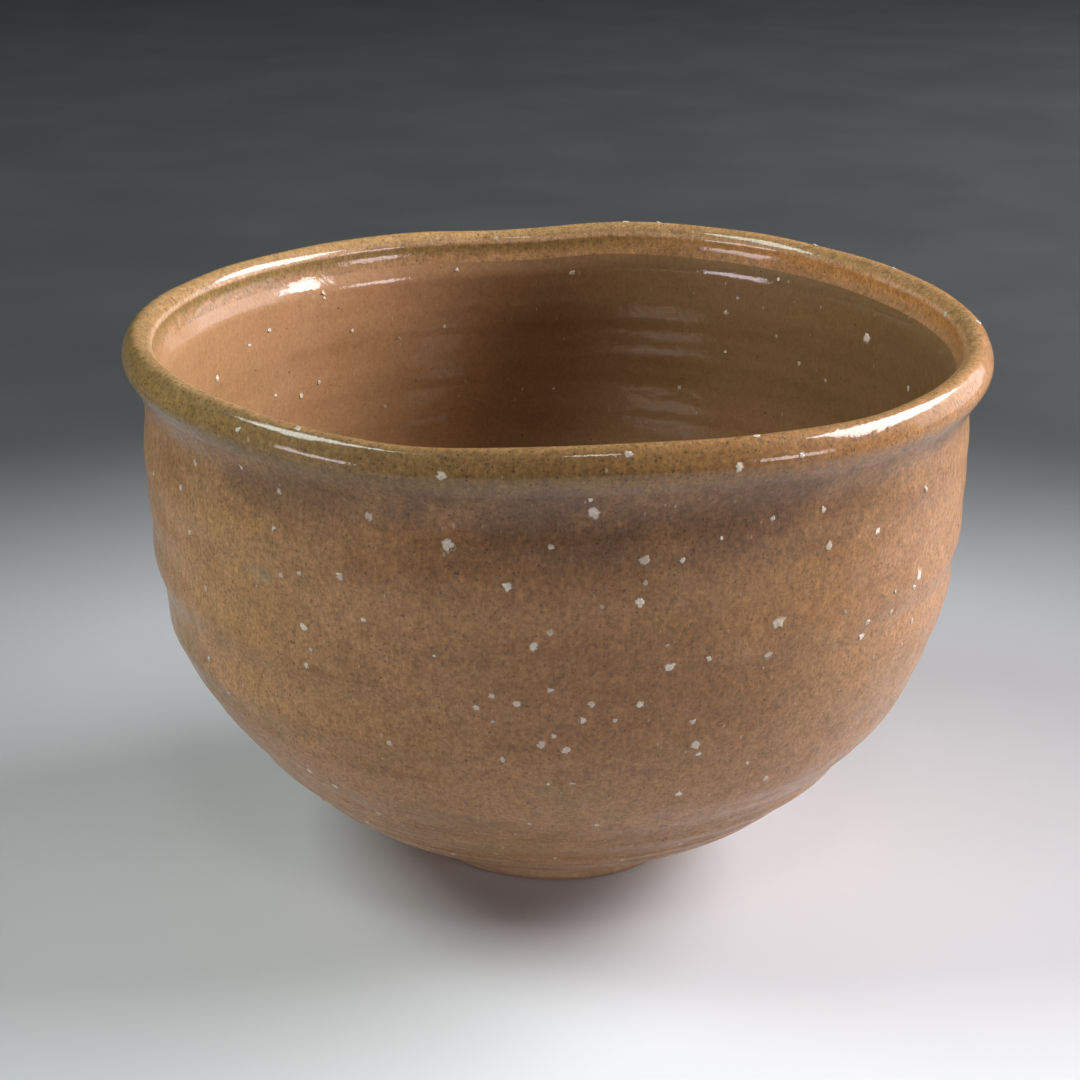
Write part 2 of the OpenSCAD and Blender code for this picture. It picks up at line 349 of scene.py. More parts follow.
def clay_body():
    """The wall and floor, with the turned recess under the foot."""
    joint_h = FOOT_H + GLAZE_T
    recess = [ring_row(0, RECESS_H)]
    for r in np.arange(0.5, RECESS_R - 0.3, 0.4):
        dome = 0.25 * (1 - (r / RECESS_R) ** 2)
        button = 0.5 * math.exp(-((r / 2.2) ** 2)) * rise(r, 0, 0.5)
        calm = rise(r, 0, 2) * (1 - rise(r, RECESS_R - 1.5, RECESS_R - 0.4))
        recess.append(ring_row(r, RECESS_H + dome * rise(r, 0, 2) - button + calm * turned_clay(r, 0)))
    recess.append(ring_row(RECESS_R, RECESS_H))
    recess.append(ring_row(RECESS_R, joint_h))
    recess.append(ring_row(FOOT_TOP_R, joint_h))
    wall = [thrown(s, ANGLES, GLAZE_T) for s in places(0, END_S, hidden)]
    return lathe("thrown_body", recess + wall[1:])


def rounded(points, spacing, softness):
    """A closed line through the points with its corners worn round."""
    closed = np.vstack([points, points[:1]])
    s = along(closed)
    count = int(s[-1] / spacing)
    at = np.linspace(0, s[-1], count, endpoint=False)
    line = np.stack([np.interp(at, s, closed[:, 0]), np.interp(at, s, closed[:, 1])], -1)
    for _ in range(softness):
        line = (np.roll(line, 1, 0) + 2 * line + np.roll(line, -1, 0)) / 4
    return line


def foot_ring():
    """The turned ring that the bowl stands on, its edges worn and its faces scraped."""
    top = FOOT_H + GLAZE_T
    foot_r = max(STANDING_RADII) + FOOT_BEVEL
    section = np.array([
        (RECESS_R, top),
        (RECESS_R, FOOT_BEVEL),
        (RECESS_R + FOOT_BEVEL, 0),
        (foot_r - FOOT_BEVEL, 0),
        (foot_r, FOOT_BEVEL),
        (FOOT_TOP_R, FOOT_H),
        (FOOT_TOP_R, top),
    ])
    line = rounded(section, 0.22, 3)
    middle = section.mean(0)
    rows = []
    for r, z in line:
        side = np.sign(r - middle[0])
        free = 1 - rise(z, FOOT_H - 1, FOOT_H - 0.2)
        a = np.radians(ANGLES)
        waves = 0.08 * np.sin(3 * a + 1) + 0.05 * np.sin(7 * a + z)
        uneven = side * free * (0.6 * turned_clay(2.2 * z, z) + waves)
        lift = np.maximum(z + free * 0.4 * turned_clay(r, z) * rise(z, 0, 0.4), 0)
        rows.append(ring_row(r + uneven, lift))
    return lathe("turned_foot", rows, sharp=60)


# ---------------------------------------------------------------- chips and spots in the glaze


def islands(name):
    """The corner points of each separate solid of a CAD node, in mm."""
    solid = bmesh.new()
    solid.from_mesh(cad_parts[name].data)
    bmesh.ops.remove_doubles(solid, verts=solid.verts, dist=1e-6)
    found = []
    seen = set()
    for vertex in solid.verts:
        if vertex in seen:
            continue
        seen.add(vertex)
        group = [vertex]
        for member in group:
            for edge in member.link_edges:
                other = edge.other_vert(member)
                if other not in seen:
                    seen.add(other)
                    group.append(other)
        found.append(np.array([v.co for v in group]) / MM)
    solid.free()
    return found


def lie_of(points):
    """Where a chip lies: its angle, its place along the outline, and its corners there, in order.
    Corners are (mm along the outline, mm round the bowl) from its centre."""
    centre = points.mean(0)
    angle = math.degrees(math.atan2(centre[0], -centre[1]))
    a = math.radians(angle)
    across = np.array([math.cos(a), math.sin(a), 0])
    r = math.hypot(centre[0], centre[1])
    i = np.hypot(CURVE[:, 0] - r, CURVE[:, 1] - centre[2]).argmin()
    tr, tz = TANGENT[i]
    onward = np.array([tr * math.sin(a), -tr * math.cos(a), tz])
    away = points - centre
    flat = {(round(float(p @ onward), 2), round(float(p @ across), 2)) for p in away}
    corners = sorted(flat, key=lambda c: math.atan2(c[1], c[0]))
    return angle, CURVE_S[i], np.array(corners)


def outline_reach(corners, direction):
    """Distance from the centre to the edge of the polygon of corners, in a direction in radians."""
    reach = 1e9
    d = np.array([math.cos(direction), math.sin(direction)])
    for p, q in zip(corners, np.roll(corners, -1, 0)):
        edge = q - p
        cross = d[0] * edge[1] - d[1] * edge[0]
        if abs(cross) < 1e-9:
            continue
        t = (p[0] * edge[1] - p[1] * edge[0]) / cross
        u = (p[0] * d[1] - p[1] * d[0]) / cross
        if t > 0 and -1e-6 <= u <= 1 + 1e-6:
            reach = min(reach, t)
    return reach


# A chip's form: rings from its sunken skirt to its middle, as (share of its width, mm out of the
# glaze, how much of the chip shows through the glaze)
CHIP_RINGS = [
    (1.4, -0.06, 0), (1.2, 0.0, 0.05), (1.06, 0.03, 0.4), (0.94, 0.055, 0.9), (0.76, 0.07, 1),
    (0.48, 0.08, 1), (0.22, 0.08, 1),
]
# The same for a spot of iron, which lies in a shallow pit with a raised edge
SPOT_RINGS = [
    (1.5, -0.06, 0), (1.25, 0.0, 0.15), (1.05, 0.03, 0.7), (0.85, 0.02, 1), (0.5, 0.0, 1),
    (0.25, -0.01, 1),
]
CHIP_SIDES = 16
# Rings higher than this above the glaze, in mm, are roughened and tipped
FREE_HEIGHT = 0.05
ROOT_DEPTH = 0.2


def inclusions(piece, name, form, roughness, squash, seed):
    """One object of all the chips or spots of a CAD node, each rooted in the glaze where it lies."""
    draw = np.random.default_rng(seed)
    vertices = []
    faces = []
    core = []
    tint = []
    from_crest = []
    for points in islands(name):
        angle, s, corners = lie_of(points)
        r, _, _, _ = outline_at(s)
        directions = np.linspace(0, 2 * math.pi, CHIP_SIDES, endpoint=False)
        reach = np.array([outline_reach(corners, d) for d in directions])
        reach = 0.7 * reach + 0.15 * (np.roll(reach, 1) + np.roll(reach, -1))
        reach = reach * (1 + 0.16 * draw.standard_normal(CHIP_SIDES))
        tone = draw.random()
        tip = 0.06 * draw.standard_normal(2)
        first = len(vertices)
        for share, height, shows in form:
            rough = roughness * (height > FREE_HEIGHT) * draw.standard_normal(CHIP_SIDES)
            size = reach * share
            up = size * np.cos(directions) * squash
            side = size * np.sin(directions)
            slope = tip[0] * np.cos(directions) * share + tip[1] * np.sin(directions) * share
            lift = height + rough + slope * (height > FREE_HEIGHT)
            ring = thrown(s + up, angle + np.degrees(side / r), -lift)
            vertices.extend(ring)
            from_crest.extend(s + up - CREST_S)
            core.extend([shows] * CHIP_SIDES)
            tint.extend([tone] * CHIP_SIDES)
        middle = thrown(np.array([s]), np.array([angle]), -form[-1][1])
        root = thrown(np.array([s]), np.array([angle]), ROOT_DEPTH)
        vertices.extend([middle[0], root[0]])
        core.extend([form[-1][2], 0])
        tint.extend([tone, tone])
        from_crest.extend([s - CREST_S] * 2)
        middle_number = first + len(form) * CHIP_SIDES
        for ring in range(len(form) - 1):
            for i in range(CHIP_SIDES):
                j = (i + 1) % CHIP_SIDES
                low = first + ring * CHIP_SIDES
                faces.append([low + i, low + j, low + CHIP_SIDES + j, low + CHIP_SIDES + i])
        last = middle_number - CHIP_SIDES
        for i in range(CHIP_SIDES):
            j = (i + 1) % CHIP_SIDES
            faces.append([last + i, last + j, middle_number])
            faces.append([first + j, first + i, middle_number + 1])
    obj = new_object(piece, vertices, faces)
    mark(obj, "core", core)
    mark(obj, "tint", tint)
    mark(obj, "from_crest", from_crest)
    obj.data.set_sharp_from_angle(angle=math.radians(65))
    return obj


# ---------------------------------------------------------------- materials

# Radius of the upright wall in mm, which sets the width of runs in the glaze
WALL_R = 58


class Painter:
    """Adds shader nodes to one material. Each method returns the socket that holds its result.
    Places are in millimetres, in the bowl's own frame."""

    def __init__(self, name):
        self.material = bpy.data.materials.new(name)
        self.material.use_nodes = True
        self.tree = self.material.node_tree
        self.shader = self.tree.nodes["Principled BSDF"]
        coordinates = self.tree.nodes.new("ShaderNodeTexCoord").outputs["Object"]
        self.place = self.vector("MULTIPLY", coordinates, (1 / MM,) * 3)
        split = self.node("ShaderNodeSeparateXYZ", self.place)
        self.height = split.outputs["Z"]
        back = self.math("MULTIPLY", split.outputs["Y"], -1)
        turn = self.math("ARCTAN2", split.outputs["X"], back)
        self.angle = self.math("DEGREES", turn)

    def node(self, kind, *inputs):
        made = self.tree.nodes.new(kind)
        for socket, value in zip(made.inputs, inputs):
            self.put(socket, value)
        return made

    def put(self, socket, value):
        if isinstance(value, bpy.types.NodeSocket):
            self.tree.links.new(value, socket)
        elif value is not None:
            socket.default_value = value

    def math(self, operation, a, b=None, c=None, clamp=False):
        made = self.node("ShaderNodeMath", a, b, c)
        made.operation = operation
        made.use_clamp = clamp
        return made.outputs[0]

    def vector(self, operation, a, b):
        made = self.node("ShaderNodeVectorMath", a, b)
        made.operation = operation
        return made.outputs[0]

    def add(self, a, b):
        return self.math("ADD", a, b)

    def times(self, *factors):
        product = factors[0]
        for factor in factors[1:]:
            product = self.math("MULTIPLY", product, factor)
        return product

    def step(self, value, low, high, to_low=0.0, to_high=1.0):
        """to_low where value is at or below low, to_high at or above high, smooth between them."""
        made = self.node("ShaderNodeMapRange")
        made.interpolation_type = "SMOOTHSTEP"
        flipped = low > high
        ends = (high, low, to_high, to_low) if flipped else (low, high, to_low, to_high)
        for socket, item in zip(made.inputs, (value, *ends)):
            self.put(socket, item)
        return made.outputs[0]

    def band(self, value, centre, half, soft):
        """1 within half of centre, falling to 0 over soft beyond it."""
        away = self.math("ABSOLUTE", self.math("SUBTRACT", value, centre))
        return self.step(away, half + soft, half)

    def noise(self, size, detail=3.0, rough=0.55, stretch=(1, 1, 1), seed=0.0, twist=0.0):
        """Cloudy noise about 0.5, with features of that size in mm, drawn out by stretch."""
        scale = tuple(1 / (size * k) for k in stretch)
        at = self.vector("MULTIPLY", self.place, scale)
        at = self.vector("ADD", at, (seed * 7.3, seed * 3.1, seed * 5.7))
        made = self.tree.nodes.new("ShaderNodeTexNoise")
        self.put(made.inputs["Vector"], at)
        made.inputs["Scale"].default_value = 1
        made.inputs["Detail"].default_value = detail
        made.inputs["Roughness"].default_value = rough
        made.inputs["Distortion"].default_value = twist
        return made.outputs["Fac"]

    def runs(self, width, length, detail=3.0, rough=0.6, seed=0.0):
        """Noise drawn out down the wall and over the lip, the way glaze runs. Features are width mm
        across and length mm long."""
        flat = self.vector("MULTIPLY", self.place, (1, 1, 0))
        round_wall = self.vector("MULTIPLY", self.vector("NORMALIZE", flat, None), (WALL_R,) * 3)
        down = self.node("ShaderNodeCombineXYZ", 0, 0, self.attribute("from_crest")).outputs[0]
        scale = (1 / width, 1 / width, 1 / length)
        at = self.vector("MULTIPLY", self.vector("ADD", round_wall, down), scale)
        made = self.tree.nodes.new("ShaderNodeTexNoise")
        self.put(made.inputs["Vector"], self.vector("ADD", at, (seed * 5.1, seed * 6.7, seed * 2.3)))
        made.inputs["Scale"].default_value = 1
        made.inputs["Detail"].default_value = detail
        made.inputs["Roughness"].default_value = rough
        return made.outputs["Fac"]

    def around_one(self, value, contrast):
        """Noise about 0.5 made into a factor about 1."""
        return self.math("MULTIPLY_ADD", value, contrast, 1 - contrast / 2)

    def dots(self, spacing, smallest, largest, soft=0.35, seed=0.0, stretch=(1, 1, 1)):
        """Scattered dots: 1 in a dot. Cells are spacing mm wide, and a dot's radius in mm is drawn
        between smallest and largest. A radius below 0 leaves its cell empty."""
        scale = tuple(1 / (spacing * k) for k in stretch)
        at = self.vector("MULTIPLY", self.place, scale)
        at = self.vector("ADD", at, (seed * 2.9, seed * 8.1, seed * 4.3))
        made = self.tree.nodes.new("ShaderNodeTexVoronoi")
        self.put(made.inputs["Vector"], at)
        made.inputs["Scale"].default_value = 1
        tone = self.node("ShaderNodeSeparateColor", made.outputs["Color"]).outputs[0]
        spread = (largest - smallest) / spacing
        radius = self.math("MULTIPLY_ADD", tone, spread, smallest / spacing)
        inner = self.times(radius, 1 - soft)
        away = made.outputs["Distance"]
        t = self.math("SUBTRACT", radius, away)
        width = self.math("SUBTRACT", radius, inner)
        return self.math("DIVIDE", t, self.math("MAXIMUM", width, 0.002), clamp=True)

    def mix(self, factor, a, b):
        """Colour a where factor is 0 and colour b where it is 1."""
        made = self.tree.nodes.new("ShaderNodeMix")
        made.data_type = "RGBA"
        self.put(made.inputs["Factor"], factor)
        colour_inputs = [s for s in made.inputs if s.type == "RGBA"]
        for socket, value in zip(colour_inputs, (a, b)):
            self.put(socket, (*value, 1) if isinstance(value, tuple) else value)
        return next(s for s in made.outputs if s.type == "RGBA")

    def shade(self, colour, amount):
        """The colour times amount, which may be a socket."""
        made = self.tree.nodes.new("ShaderNodeVectorMath")
        made.operation = "SCALE"
        self.put(made.inputs[0], colour)
        self.put(made.inputs["Scale"], amount)
        return made.outputs[0]

    def attribute(self, name):
        """A number that mark() stored on the mesh."""
        made = self.tree.nodes.new("ShaderNodeAttribute")
        made.attribute_name = name
        return made.outputs["Fac"]

    def bump(self, height):
        """A normal from a height in mm."""
        made = self.tree.nodes.new("ShaderNodeBump")
        made.inputs["Strength"].default_value = 1.0
        made.inputs["Distance"].default_value = MM
        self.put(made.inputs["Height"], height)
        return made.outputs["Normal"]


TAN = (0.350, 0.200, 0.086)
PINK = (0.410, 0.206, 0.098)
OCHRE = (0.335, 0.178, 0.066)
BROWN = (0.205, 0.098, 0.035)
OLIVE = (0.215, 0.140, 0.048)
LIP_TAN = (0.37, 0.220, 0.098)
AMBER = (0.39, 0.185, 0.056)
UMBER = (0.085, 0.050, 0.034)
BLOOM = (0.27, 0.235, 0.150)
PEACH = (0.405, 0.222, 0.108)
PALE_EDGE = (0.50, 0.31, 0.18)
RUST = (0.16, 0.060, 0.020)
IRON = (0.030, 0.017, 0.010)
FELDSPAR = (0.46, 0.40, 0.30)
STONE_PALE = (0.70, 0.64, 0.53)
STONE_DULL = (0.50, 0.43, 0.33)
IRON_BLACK = (0.045, 0.027, 0.018)
IRON_BROWN = (0.09, 0.045, 0.022)
BODY_CLAY = (0.40, 0.27, 0.14)
BODY_CLAY_DARK = (0.28, 0.18, 0.09)
FOOT_CLAY = (0.56, 0.38, 0.205)
FOOT_CLAY_DARK = (0.38, 0.25, 0.125)

# Where the fire has left a patch of another colour on the outside, as (colour, how much of it,
# angle, height, half its width in degrees, half its height in mm)
PATCHES = [
    (OCHRE, 0.45, -52, 50, 18, 9),
    (OCHRE, 0.35, -70, 62, 14, 8),
    (AMBER, 0.45, 33, 57, 13, 7),
    (OCHRE, 0.4, 50, 42, 16, 8),
    (PINK, 0.7, -45, 27, 22, 8),
    (PINK, 0.6, 62, 55, 16, 16),
    (PINK, 0.5, 38, 27, 22, 7),
    (BROWN, 0.55, 12, 46, 20, 12),
    (BROWN, 0.45, -8, 64, 18, 5),
    (OLIVE, 0.45, -62, 36, 10, 5),
    (OLIVE, 0.40, 5, 30, 12, 4),
    (BLOOM, 0.5, -40, 58.5, 2.5, 1.4),
    (UMBER, 0.5, -38, 70, 9, 3),
]


def patch(p, angle, height, half_width, half_height):
    """A ragged patch, 1 in its middle and 0 outside it."""
    across = p.math("DIVIDE", p.math("SUBTRACT", p.angle, angle), half_width)
    up = p.math("DIVIDE", p.math("SUBTRACT", p.height, height), half_height)
    away = p.add(p.times(across, across), p.times(up, up))
    ragged = p.math("MULTIPLY_ADD", p.noise(11, 6, 0.68, seed=angle / 17), 3.4, -1.7)
    return p.step(p.add(away, ragged), 1.5, 0.1)


def lip_tone(p, colour):
    """Adds the lip's coat: olive over its outer roll, amber towards the right front, tan on the
    crest, and a pale line at the inner edge where the glaze has run thin."""
    from_crest = p.attribute("from_crest")
    waves = p.math("MULTIPLY_ADD", p.noise(3.5, 3, seed=6), 2.4, -1.2)
    ragged = p.add(waves, p.times(p.runs(0.4, 2.5, seed=26), 1.8))
    reach = p.add(p.add(from_crest, ragged), -0.9)
    amber = p.times(p.step(p.angle, -5, 40), p.band(p.angle, 60, 75, 50))
    outer = p.mix(amber, OLIVE, AMBER)
    on_lip = p.times(p.step(reach, -7.5, -5.0), p.step(reach, 5.5, 3.6))
    colour = p.mix(p.times(on_lip, 0.85), colour, outer)
    crest = p.times(p.step(reach, -1.2, 0.0), p.step(reach, 3.2, 2.2))
    colour = p.mix(p.times(crest, 0.75), colour, LIP_TAN)
    edge = p.band(from_crest, 2.75, 0.15, 0.45)
    thin = p.step(p.noise(9, 2, seed=24), 0.3, 0.6, 0.2, 0.75)
    return p.mix(p.times(edge, thin), colour, PALE_EDGE)


def body_glaze(p):
    """Colour of the glaze over the outside: tan clouded with pink, ochre and brown, with a dark umber
    band under the lip, turned bands low on the wall, and painted shade that makes the front browner and
    darker."""
    clouds = p.step(p.noise(30, 5, 0.6, seed=1), 0.42, 0.6)
    warm = p.step(p.angle, -60, 75)
    pink = p.math("MULTIPLY_ADD", clouds, 0.4, p.times(warm, 0.35), clamp=True)
    colour = p.mix(pink, TAN, PINK)
    ochre = p.step(p.noise(12, 7, 0.68, (1, 1, 0.8), seed=2, twist=0.4), 0.48, 0.6)
    colour = p.mix(p.times(ochre, 0.45), colour, OCHRE)
    brown = p.step(p.noise(16, 7, 0.66, (1.6, 1.6, 0.5), seed=3), 0.5, 0.62)
    colour = p.mix(p.times(brown, 0.45), colour, BROWN)
    for tone, amount, *place in PATCHES:
        colour = p.mix(p.times(patch(p, *place), amount), colour, tone)
    mottles = p.noise(4.2, 5, 0.75, seed=27)
    colour = p.mix(p.step(mottles, 0.52, 0.66, 0.0, 0.2), colour, OCHRE)
    colour = p.mix(p.step(mottles, 0.48, 0.34, 0.0, 0.28), colour, OLIVE)
    edge = p.math("MULTIPLY_ADD", p.noise(9, 5, 0.65, seed=4), 8, -4)
    level = p.add(p.height, edge)
    clouded = p.step(p.noise(13, 5, 0.65, seed=5), 0.25, 0.62)
    under_lip = p.times(p.band(level, 71.0, 2.6, 8.0), clouded)
    round_front = p.band(p.angle, 15, 22, 35)
    round_all = p.math("MULTIPLY_ADD", round_front, 0.7, 0.25)
    colour = p.mix(p.times(under_lip, round_all), colour, UMBER)
    turned = p.step(p.noise(1.1, 3, 0.6, (40, 40, 1), seed=28), 0.44, 0.56)
    low = p.step(p.height, 25, 13)
    colour = p.mix(p.times(turned, low, 0.5), colour, PALE_EDGE)
    scored = p.step(p.noise(0.45, 2, 0.5, (40, 40, 1), seed=33), 0.42, 0.34)
    colour = p.mix(p.times(scored, low, 0.7), colour, BROWN)
    colour = lip_tone(p, colour)
    # Painted shade on the front, which faces away from the lamps: there the glaze is browned and
    # darkened, and the rest of the outside is lightened by a tenth.
    front_painted_shade = p.band(p.angle, 10, 15, 55)
    colour = p.mix(p.times(front_painted_shade, 0.45), colour, BROWN)
    return p.shade(colour, p.math("MULTIPLY_ADD", front_painted_shade, -0.12, 1.1))


def inside_glaze(p):
    """Colour of the glaze inside: peach clouded with tan and brown, olive high up on the right, greyer at
    the floor, and painted shade that darkens it towards the right half."""
    clouds = p.step(p.noise(26, 5, 0.6, seed=7), 0.42, 0.62)
    colour = p.mix(p.times(clouds, 0.5), PEACH, TAN)
    brown = p.step(p.noise(12, 6, 0.65, (1.5, 1.5, 0.6), seed=8), 0.52, 0.7)
    colour = p.mix(p.times(brown, 0.25), colour, BROWN)
    right_back = p.band(p.angle, 118, 22, 40)
    colour = p.mix(p.times(right_back, p.step(p.height, 40, 72), 0.6), colour, OLIVE)
    colour = p.mix(p.times(p.step(p.height, 22, 12), 0.4), colour, BLOOM)
    # Painted shade: below the rim the inside is darkened by up to half right of the middle, where the
    # lamp on the right leaves it in shade.
    across = p.node("ShaderNodeSeparateXYZ", p.place).outputs["X"]
    right_half_painted_shade = p.add(p.step(across, -34, 2, 0.0, 0.5), p.step(across, 8, 34, 0.0, -0.08))
    sunk = p.step(p.height, 80, 74)
    colour = p.shade(colour, p.math("MULTIPLY_ADD", p.times(right_half_painted_shade, sunk), -1, 1))
    return lip_tone(p, colour)


def specks(p, colour, strength):
    """Adds what the fire drew out: fine grain and runs, iron specks, rusty blurs and pale slivers."""
    grain = p.around_one(p.noise(0.6, 5, 0.8, seed=9), 2.3 * strength)
    streaks = p.around_one(p.runs(0.3, 1.5, seed=10), 0.6 * strength)
    blotches = p.around_one(p.noise(1.9, 5, 0.7, seed=29), 0.8 * strength)
    colour = p.shade(colour, p.times(grain, streaks, blotches))
    rust = p.dots(1.9, -0.4, 0.62, 0.9, seed=1)
    colour = p.mix(p.times(rust, 0.5 * strength), colour, RUST)
    more_on_lip = p.band(p.attribute("from_crest"), -2, 3, 4)
    fine_dots = p.dots(0.55, -0.2, 0.26, 0.5, seed=2)
    colour = p.mix(p.times(fine_dots, 0.45 * strength), colour, IRON)
    extra = p.times(p.dots(0.5, -0.08, 0.2, 0.5, seed=3), more_on_lip, 0.7)
    colour = p.mix(extra, colour, IRON)
    spots = p.dots(1.5, -0.4, 0.24, 0.6, seed=4)
    colour = p.mix(p.times(spots, 0.8), colour, IRON)
    slivers = p.dots(2.4, -0.6, 0.42, 0.6, seed=5, stretch=(0.5, 0.5, 1.2))
    return p.mix(p.times(slivers, 0.65), colour, FELDSPAR)


def glaze_height(p):
    """Height of the glaze's own fine relief in mm: a soft orange peel, fine grain and runs,
    pinholes, and the lines of the turning tool low on the wall."""
    peel = p.times(p.noise(2.6, 2, 0.5, seed=11), 0.06)
    grain = p.times(p.noise(0.8, 3, 0.6, seed=12), 0.016)
    runs = p.times(p.runs(0.4, 1.6, seed=30), 0.010)
    pinholes = p.times(p.dots(1.7, -0.3, 0.16, 0.7, seed=6), -0.04)
    lines = p.times(p.noise(0.8, 3, 0.6, (40, 40, 1), seed=31), p.step(p.height, 25, 16), 0.7)
    return p.add(p.add(p.add(peel, grain), p.add(pinholes, runs)), lines)


# The coloured layer of the glaze, and the clear glassy one over it
GLAZE_IOR = 1.45
GLAZE_SPECULAR = 0.15
COAT_IOR = 1.5
COAT_ROUGHNESS = 0.06


def glossy(p, colour, normal, roughness, gloss):
    """Glaze: a soft coloured layer under a clear glassy one, whose weight is gloss."""
    p.put(p.shader.inputs["Base Color"], colour)
    p.put(p.shader.inputs["Roughness"], roughness)
    p.put(p.shader.inputs["Normal"], normal)
    p.put(p.shader.inputs["Coat Normal"], normal)
    p.shader.inputs["IOR"].default_value = GLAZE_IOR
    p.shader.inputs["Specular IOR Level"].default_value = GLAZE_SPECULAR
    p.shader.inputs["Coat Weight"].default_value = gloss
    p.shader.inputs["Coat Roughness"].default_value = COAT_ROUGHNESS
    p.shader.inputs["Coat IOR"].default_value = COAT_IOR


def glaze_material(name, coloured, strength, gloss):
    """A coat of glaze: coloured(p) gives its colour, and strength is how much it is speckled."""
    p = Painter(name)
    normal = p.bump(glaze_height(p))
    roughness = p.step(p.noise(3, 3, seed=13), 0.3, 0.7, 0.38, 0.6)
    glossy(p, specks(p, coloured(p), strength), normal, roughness, gloss)
    return p.material


def inclusion_material(name, lightest, darkest):
    """A chip or a spot that melts into the glaze round it."""
    p = Painter(name)
    core = p.attribute("core")
    tint = p.attribute("tint")
    within = p.step(p.attribute("from_crest"), 2, 3)
    glaze = specks(p, p.mix(within, body_glaze(p), inside_glaze(p)), 1)
    stone = p.mix(p.step(tint, 0.1, 0.9), lightest, darkest)
    stone = p.shade(stone, p.around_one(p.noise(0.35, 4, 0.7, seed=14), 1.3))
    ragged = p.math("MULTIPLY_ADD", p.noise(0.3, 3, 0.7, seed=15), 3.2, -1.6)
    melting = p.times(core, p.math("SUBTRACT", 1.25, core))
    shows = p.math("MULTIPLY_ADD", ragged, melting, core, clamp=True)
    colour = p.mix(p.times(shows, 0.92), glaze, stone)
    normal = p.bump(p.add(glaze_height(p), p.times(p.noise(0.35, 3, 0.7, seed=16), core, 0.06)))
    glossy(p, colour, normal, roughness=0.45, gloss=0.6)
    return p.material


def clay_material(name, colour, dark):
    """Bare fired clay: sandy, matt, with dark grains and scraped marks."""
    p = Painter(name)
    clouds = p.step(p.noise(9, 4, 0.6, seed=17), 0.4, 0.62)
    tone = p.mix(p.times(clouds, 0.5), colour, dark)
    tone = p.shade(tone, p.around_one(p.noise(0.5, 4, 0.75, seed=18), 1.0))
    turned = p.step(p.noise(0.6, 3, 0.6, (30, 30, 1), seed=32), 0.44, 0.6)
    tone = p.mix(p.times(turned, 0.4), tone, dark)
    tone = p.mix(p.times(p.dots(1.1, -0.25, 0.2, 0.5, seed=7), 0.7), tone, IRON)
    tone = p.mix(p.times(p.dots(2.4, -0.6, 0.35, 0.5, seed=8), 0.6), tone, FELDSPAR)
    relief = p.times(p.noise(0.5, 4, 0.7, seed=19), 0.12)
    relief = p.add(relief, p.times(p.noise(0.5, 2, 0.5, (40, 40, 1), seed=20), 0.14))
    p.put(p.shader.inputs["Base Color"], tone)
    p.put(p.shader.inputs["Normal"], p.bump(relief))
    p.put(p.shader.inputs["Roughness"], p.step(p.noise(2, 3, seed=21), 0.3, 0.7, 0.62, 0.9))
    return p.material


def floor_material():
    """Studio paper: pale round the bowl and darker with distance, faintly clouded."""
    p = Painter("pale_floor")
    middle = p.vector("SUBTRACT", p.place, PALE_CENTRE)
    away = p.node("ShaderNodeVectorMath", middle)
    away.operation = "LENGTH"
    dark = p.step(away.outputs["Value"], *PALE_RADII)
    tone = p.math("MULTIPLY_ADD", p.noise(120, 3, seed=22), 0.06, 0.97)
    p.put(p.shader.inputs["Base Color"], p.shade(p.mix(dark, FLOOR_COLOUR, BACKDROP_COLOUR), tone))
    p.put(p.shader.inputs["Roughness"], p.step(p.noise(60, 2, seed=23), 0.3, 0.7, 0.5, 0.6))
    return p.material


# ---------------------------------------------------------------- stage, lights and camera

FLOOR_COLOUR = (0.60, 0.615, 0.64)
BACKDROP_COLOUR = (0.046, 0.050, 0.052)
# The floor is palest round a point in front of the bowl out to the first radius, and as dark as the
# backdrop from the second, in mm
PALE_CENTRE = (0, -130, 0)
PALE_RADII = (90, 350)
# Side of the floor and the point the lights face, in metres
FLOOR_SIZE = 8
LIGHT_AIM = (0, 0, 0.075)

# Soft studio panels round the bowl: azimuth from the front and elevation in degrees, distance,
# width and height in metres, colour and power in watts
PANELS = {
    "window_right": (105, 31, 1.2, 0.92, 0.48, (1.0, 0.975, 0.99), 28.0),
    "window_left": (-84, 48, 1.2, 0.40, 0.58, (0.90, 1.0, 0.94), 10.0),
    "wall_right": (118, 8, 1.2, 0.90, 0.50, (1.0, 0.90, 0.93), 3.2),
    "low_right": (60, 8, 1.2, 0.40, 0.22, (1.0, 0.86, 0.92), 3.2),
    "low_left": (-60, 8, 1.2, 0.44, 0.22, (1.0, 0.86, 0.94), 3.2),
    "front_top": (9, 53, 1.2, 0.22, 0.12, (1.0, 0.97, 0.94), 1.1),
}
# The faint light of the room
AMBIENT = (0.012, 0.0135, 0.0145)

# Camera: place in metres, degrees down and round its own axis, lens and sensor in mm
CAMERA_PLACE = (-0.0023, -0.2908, 0.1584)
CAMERA_PITCH = 21.2
CAMERA_ROLL = 0.24
CAMERA_LENS = 70
CAMERA_SENSOR = 36


def add_panel(name, azimuth, elevation, distance, width, height, colour, power):
    """A rectangular area light that faces the bowl."""
    light = bpy.data.lights.new(name, "AREA")
    light.shape = "RECTANGLE"
    light.size = width
    light.size_y = height
    light.color = colour
    light.energy = power
    panel = bpy.data.objects.new(name, light)
    a, e = math.radians(azimuth), math.radians(elevation)
    panel.location = (
        LIGHT_AIM[0] + distance * math.cos(e) * math.sin(a),
        LIGHT_AIM[1] - distance * math.cos(e) * math.cos(a),
        LIGHT_AIM[2] + distance * math.sin(e),
    )
    panel.rotation_euler = (math.radians(90) - e, 0, a)
    bpy.context.scene.collection.objects.link(panel)


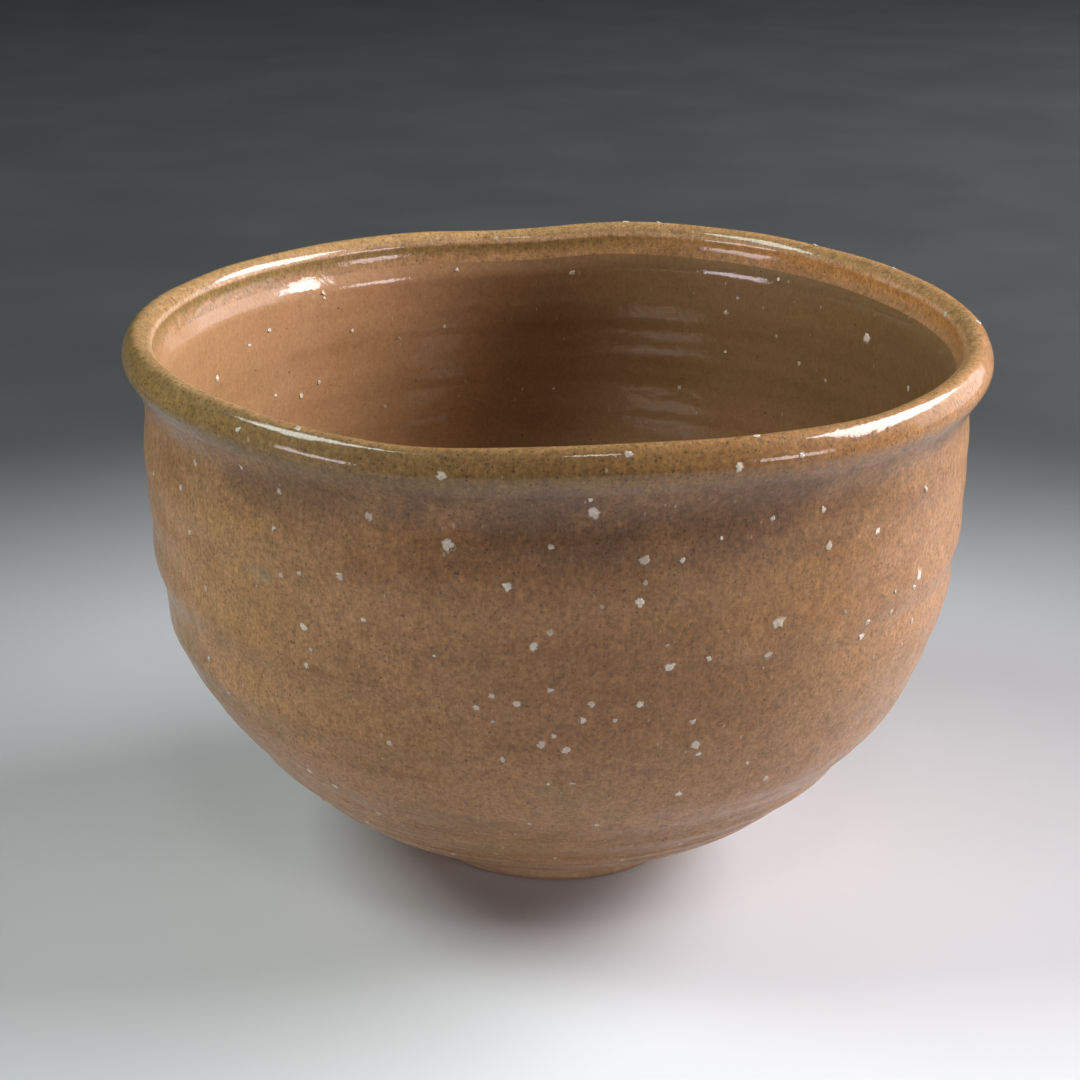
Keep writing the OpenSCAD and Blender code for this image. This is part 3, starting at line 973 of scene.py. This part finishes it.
def add_stage():
    """The floor, the light panels and the faint light of the room."""
    mesh = bpy.data.meshes.new("floor")
    half = FLOOR_SIZE / 2
    corners = [(-half, -half, 0), (half, -half, 0), (half, half, 0), (-half, half, 0)]
    mesh.from_pydata(corners, [], [(0, 1, 2, 3)])
    floor = bpy.data.objects.new("floor", mesh)
    bpy.context.scene.collection.objects.link(floor)
    mesh.materials.append(floor_material())
    for name, settings in PANELS.items():
        add_panel(name, *settings)
    world = bpy.data.worlds.new("room")
    world.use_nodes = True
    world.node_tree.nodes["Background"].inputs["Color"].default_value = (*AMBIENT, 1)
    bpy.context.scene.world = world


def add_camera():
    """The camera at the angle from which the bowl is seen: above it, in front."""
    data = bpy.data.cameras.new("camera")
    data.lens = CAMERA_LENS
    data.sensor_width = CAMERA_SENSOR
    camera = bpy.data.objects.new("camera", data)
    tilt = Matrix.Rotation(math.radians(90 - CAMERA_PITCH), 4, "X")
    roll = Matrix.Rotation(math.radians(CAMERA_ROLL), 4, "Z")
    camera.location = CAMERA_PLACE
    camera.rotation_euler = (tilt @ roll).to_euler()
    bpy.context.scene.collection.objects.link(camera)
    bpy.context.scene.camera = camera


def show(piece, node, material):
    """Puts a piece in place of a CAD node and on the bowl's one body."""
    piece.data.materials.append(material)
    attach(piece, "root")
    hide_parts(node)


add_camera()
outside_material = glaze_material("tan_glaze", body_glaze, strength=1.0, gloss=0.42)
inside_material = glaze_material("peach_glaze", inside_glaze, strength=0.4, gloss=0.9)
lip_material = glaze_material("olive_glaze", body_glaze, strength=1.0, gloss=0.7)
body_clay = clay_material("stoneware", BODY_CLAY, BODY_CLAY_DARK)
foot_clay = clay_material("turned_stoneware", FOOT_CLAY, FOOT_CLAY_DARK)
feldspar = inclusion_material("feldspar", STONE_PALE, STONE_DULL)
iron = inclusion_material("melted_iron", IRON_BLACK, IRON_BROWN)

show(clay_body(), "clay_body", body_clay)
show(foot_ring(), "foot_ring", foot_clay)
show(coat("outside_coat", 0, COAT_FROM_S, fine), "glaze_outside", outside_material)
show(coat("lip_coat", COAT_FROM_S, COAT_TO_S, fine), "lip_glaze", lip_material)
show(coat("inside_coat", COAT_TO_S, END_S, fine_inside), "glaze_inside", inside_material)
chips = inclusions("feldspar_chips", "feldspar_grains", CHIP_RINGS, roughness=0.02, squash=1.0, seed=11)
show(chips, "feldspar_grains", feldspar)
spots = inclusions("melted_spots", "iron_spots", SPOT_RINGS, roughness=0.0, squash=0.6, seed=12)
show(spots, "iron_spots", iron)
add_stage()

bpy.context.scene.view_settings.view_transform = "Standard"
